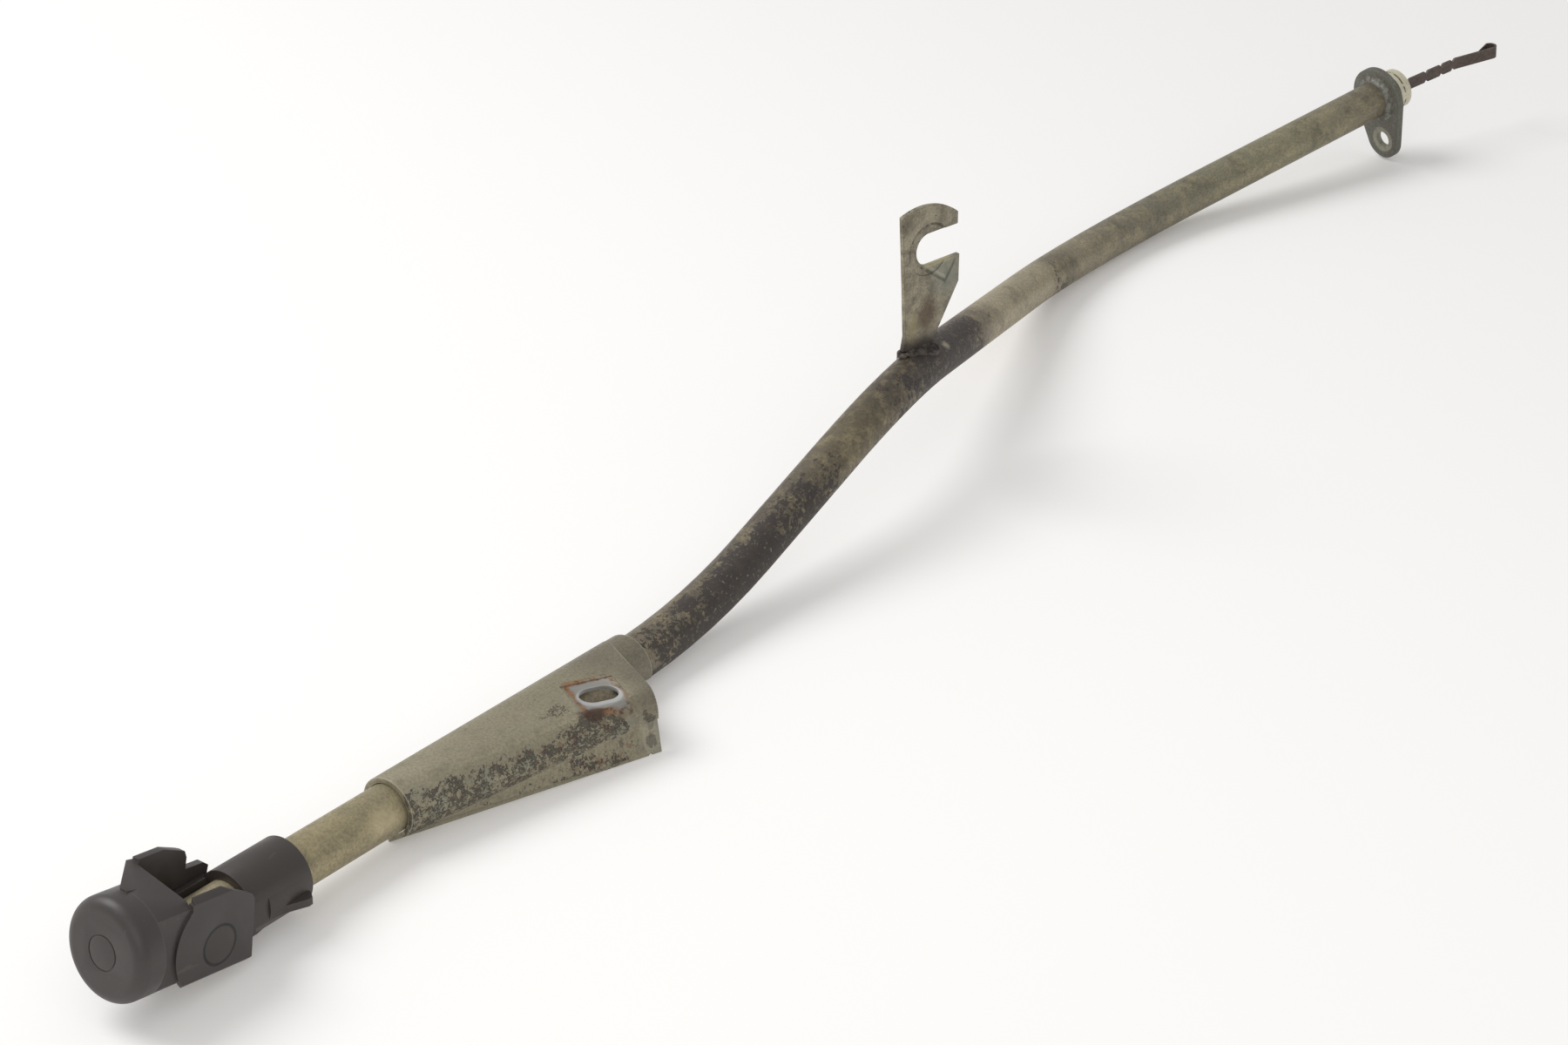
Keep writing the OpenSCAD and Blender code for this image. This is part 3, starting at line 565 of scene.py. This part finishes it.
def bead(name, body, finish, at, lumps):
    """A lumpy weld: balls side by side, in millimetres of the frame at.

    Each lump is its place, its radius and its height as a share of its width.
    """
    bpy.ops.object.select_all(action="DESELECT")
    balls = []
    for x, y, z, radius, tall in lumps:
        bpy.ops.mesh.primitive_uv_sphere_add(segments=20, ring_count=12, radius=radius / 1000,
                                             location=at @ Vector((x, y, z)) / 1000)
        bpy.ops.object.mode_set(mode="EDIT")
        bpy.ops.transform.resize(value=(1, 1, tall))
        bpy.ops.object.mode_set(mode="OBJECT")
        bpy.ops.object.transform_apply(location=True, rotation=True, scale=True)
        bpy.ops.object.shade_smooth()
        balls.append(bpy.context.object)
    for ball in balls:
        ball.select_set(True)
    bpy.ops.object.join()
    settle(bpy.context.object, name, body, finish)


def cut_across(straights):
    """Cuts the long flat facets of the straights every few millimetres, so that they shade evenly."""
    for at, length in straights:
        across = at.to_3x3() @ Vector((1, 0, 0))
        for k in range(int(length / cut_step) + 1):
            bpy.ops.mesh.select_all(action="SELECT")
            bpy.ops.mesh.bisect(plane_co=at @ Vector((k * cut_step, 0, 0)) / 1000, plane_no=across,
                                threshold=0.00001)


def dressed(node, name, body, finish, corner=0.0, angle=30, segments=2, straights=()):
    """A copy of the CAD node with its doubles merged, its corners softened and its curves shaded smooth."""
    select_only(nodes[node])
    bpy.ops.object.duplicate()
    piece = bpy.context.view_layer.objects.active
    for key in list(piece.keys()):
        del piece[key]
    bpy.ops.object.mode_set(mode="EDIT")
    bpy.ops.mesh.select_all(action="SELECT")
    bpy.ops.mesh.remove_doubles(threshold=merge_reach)
    if corner or straights:
        bpy.ops.mesh.dissolve_limited(angle_limit=radians(flat_angle))
    cut_across(straights)
    bpy.ops.object.mode_set(mode="OBJECT")
    if corner:
        bevel = piece.modifiers.new("corners", "BEVEL")
        bevel.width = corner / 1000
        bevel.segments = segments
        bevel.limit_method = "ANGLE"
        bevel.angle_limit = radians(angle)
        bpy.ops.object.modifier_apply(modifier=bevel.name)
    # the copy still carries the node's own shading, facet by facet
    bpy.ops.mesh.customdata_custom_splitnormals_clear()
    bpy.ops.object.shade_smooth_by_angle(angle=radians(angle), keep_sharp_edges=False)
    settle(piece, name, body, finish)
    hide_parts(node)


zinc_tube = tube_finish()
pressed = bracket_finish()
hook_steel = hook_finish()
lever_black = plastic_finish("moulded black", (58, 53, 51), lever)
clip_black = plastic_finish("moulded black of the clip", (56, 50, 47))
flange_grey = flange_finish()
braze_grey = seam_finish("brazed seam", (132, 132, 124), (92, 88, 79))
weld_dark = seam_finish("burnt weld", (92, 84, 74), (44, 38, 36))
blued = steel_finish("dark strip steel", (86, 73, 66), gloss=0.42, metal=0.35)
rivet_bright = steel_finish("rivet steel", (190, 188, 180), gloss=0.3, metal=0.9)
rubber = plastic_finish("rubber", (34, 32, 31), worn=0)

dressed("guide_tube", "tube", "guide", zinc_tube, straights=[
    (pivot, straight_1), (second_straight, straight_2),
    (third_straight, straight_3), (last_straight, straight_4)])
dressed("sealing_ring", "seal", "guide", rubber)
dressed("mounting_flange", "flange_plate", "guide", flange_grey, corner=0.5, angle=40)
dressed("flange_braze", "flange_seam", "guide", braze_grey)
dressed("support_bracket", "bracket", "guide", pressed, corner=0.35, angle=50)
dressed("bracket_weld", "bracket_seams", "guide", weld_dark)
dressed("hook_bracket", "hook_plate", "guide", hook_steel, corner=0.3, angle=40)
dressed("hook_weld", "hook_seams", "guide", weld_dark)
bead("hook_foot_bead", "guide", weld_dark, hook, [
    (-8.8, -1.2, 8.6, 1.5, 0.9), (-8.2, 0.9, 8.9, 1.3, 1.1), (-7.2, -1.5, 9.0, 1.2, 0.8)])
dressed("clip_body", "clip", "guide", clip_black, corner=0.4, angle=35)
dressed("locking_lever", "knob_and_lever", "lever", lever_black,
        corner=0.5, angle=35, segments=3)
dressed("mouth_plug", "plug", "guide", rubber)
dressed("strip_holder", "holder", "guide", clip_black)
dressed("strip_rivet", "rivet", "guide", rivet_bright)
dressed("dipstick_strip", "strip", "guide", blued)


# Floor and light

def table(side, tone, glow_near, glow_far):
    """A white top; its glow, seen by the camera and in reflections alone, weakens along the tube."""
    bpy.ops.object.select_all(action="DESELECT")
    bpy.ops.mesh.primitive_grid_add(x_subdivisions=12, y_subdivisions=12, size=side, location=(0, 0, 0))
    floor = bpy.context.object
    floor.name = "table"
    f = Finish("white table")
    f.finish(tone, 0.75, 0.0)
    f.shader.inputs["Specular IOR Level"].default_value = 0.1
    light = f.node("ShaderNodeLightPath")
    reflected = f.higher(light.outputs["Is Glossy Ray"], light.outputs["Is Transmission Ray"])
    seen = f.higher(light.outputs["Is Camera Ray"], reflected)
    glow = f.node("ShaderNodeEmission")
    glow.inputs["Color"].default_value = (1, 0.965, 0.92, 1)
    strength = f.fade(f.axis("X"), -300, 600, glow_near, glow_far)
    f.feed(glow.inputs["Strength"], f.product(seen, strength))
    both = f.node("ShaderNodeAddShader")
    f.feed(both.inputs[0], f.shader.outputs["BSDF"])
    f.feed(both.inputs[1], glow.outputs["Emission"])
    f.feed(f.tree.nodes["Material Output"].inputs["Surface"], both.outputs["Shader"])
    floor.data.materials.append(f.material)


def lamp(name, place, size, power):
    """A round soft light that points at the middle of the table."""
    data = bpy.data.lights.new(name, "AREA")
    data.shape = "DISK"
    data.size = size
    data.energy = power
    made = bpy.data.objects.new(name, data)
    made.location = place
    made.rotation_euler = (-Vector(place)).to_track_quat("-Z", "Y").to_euler()
    scene.collection.objects.link(made)


table(side=12, tone=(230, 229, 228), glow_near=0.21, glow_far=0.12)
lamp("window", (-0.6, 1.5, 1.9), size=1.6, power=34)
lamp("fill", (-1.6, -1.0, 1.2), size=1.5, power=6)

world = bpy.data.worlds.new("studio")
scene.world = world
world.use_nodes = True
sky = world.node_tree.nodes["Background"]
sky.inputs["Color"].default_value = (1, 1, 1, 1)
sky.inputs["Strength"].default_value = 0.55

scene.view_settings.view_transform = "Standard"
